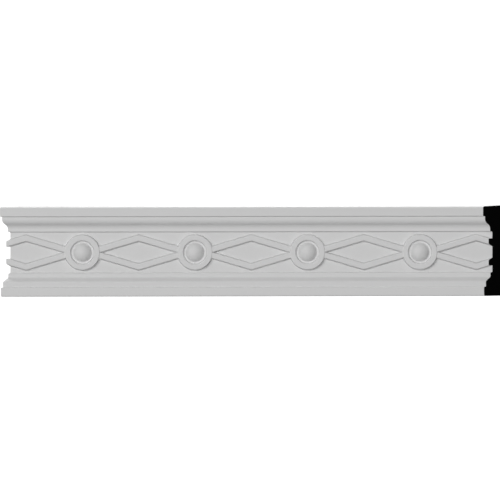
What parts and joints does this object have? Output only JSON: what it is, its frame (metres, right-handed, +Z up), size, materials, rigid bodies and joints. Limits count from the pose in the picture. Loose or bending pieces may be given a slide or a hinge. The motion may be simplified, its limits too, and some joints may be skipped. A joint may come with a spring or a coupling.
{
  "type": "chair rail",
  "caption": "Ornamental chair rail with a flat wall back, moulded lip and base, and a frieze of open lozenges between ringed domes, its ends cut on one slant.",
  "frame": {"origin": "centre of the flat back that lies against the wall, at mid height", "axes": "+X along the rail to the right as seen from the room, +Y into the wall, +Z up"},
  "size_m": [0.7096, 0.0286, 0.1284],
  "materials": {
    "primed_casting": "factory primer, matte, pale neutral grey; cut ends sealed black"
  },
  "bodies": {
    "root": {"chair_rail": "primed_casting"}
  },
  "joints": []
}
